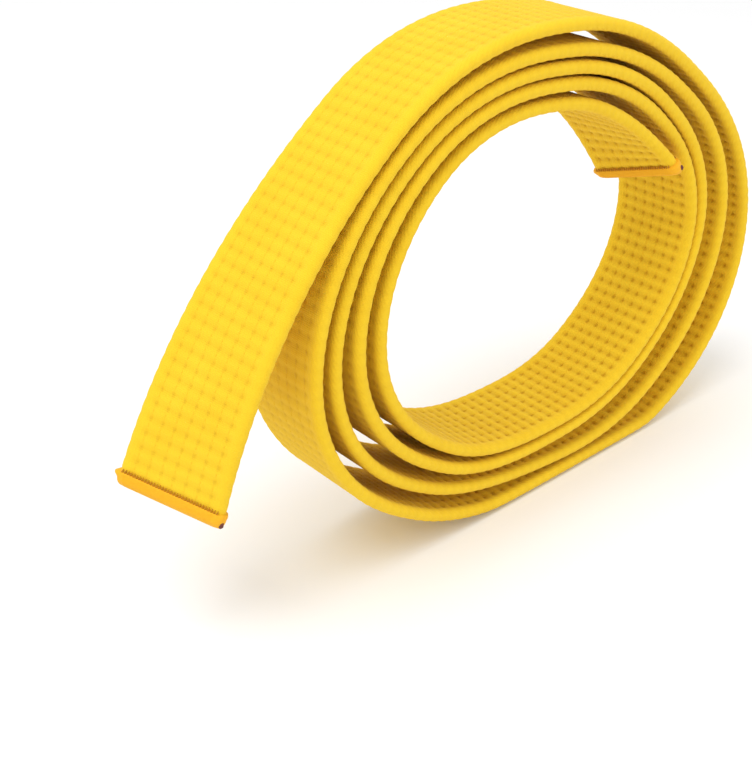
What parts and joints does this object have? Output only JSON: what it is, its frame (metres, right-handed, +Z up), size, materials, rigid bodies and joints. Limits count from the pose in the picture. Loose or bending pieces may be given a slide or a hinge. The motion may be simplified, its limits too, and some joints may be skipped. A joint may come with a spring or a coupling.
{
  "type": "martial arts belt",
  "caption": "Flat quilted fabric belt for martial arts dress, wound into a loose oval coil that stands on its rim, with one end hanging free.",
  "frame": {"origin": "on the table, under the middle of the whole outline of the coil with its hanging end", "axes": "+Z up; +X from the hanging outer end across the coil; +Y along the coil's axis, from the coil's front face to its back face"},
  "size_m": [0.2972, 0.0456, 0.192],
  "materials": {
    "cover_cloth": "matt quilted cotton, golden yellow",
    "padding_cloth": "matt unbleached cotton",
    "quilting_thread": "matt thread, golden yellow",
    "binding_thread": "dense matt thread, orange yellow"
  },
  "bodies": {
    "root": {"cover": "cover_cloth", "core_layer_outer": "padding_cloth", "core_layer_inner": "padding_cloth", "quilting_thread_1": "quilting_thread", "quilting_thread_2": "quilting_thread", "quilting_thread_3": "quilting_thread", "quilting_thread_4": "quilting_thread", "quilting_thread_5": "quilting_thread", "quilting_thread_6": "quilting_thread", "quilting_thread_7": "quilting_thread", "inner_end_binding": "binding_thread", "inner_end_seam": "binding_thread", "outer_end_binding": "binding_thread", "outer_end_seam": "binding_thread"}
  },
  "joints": []
}
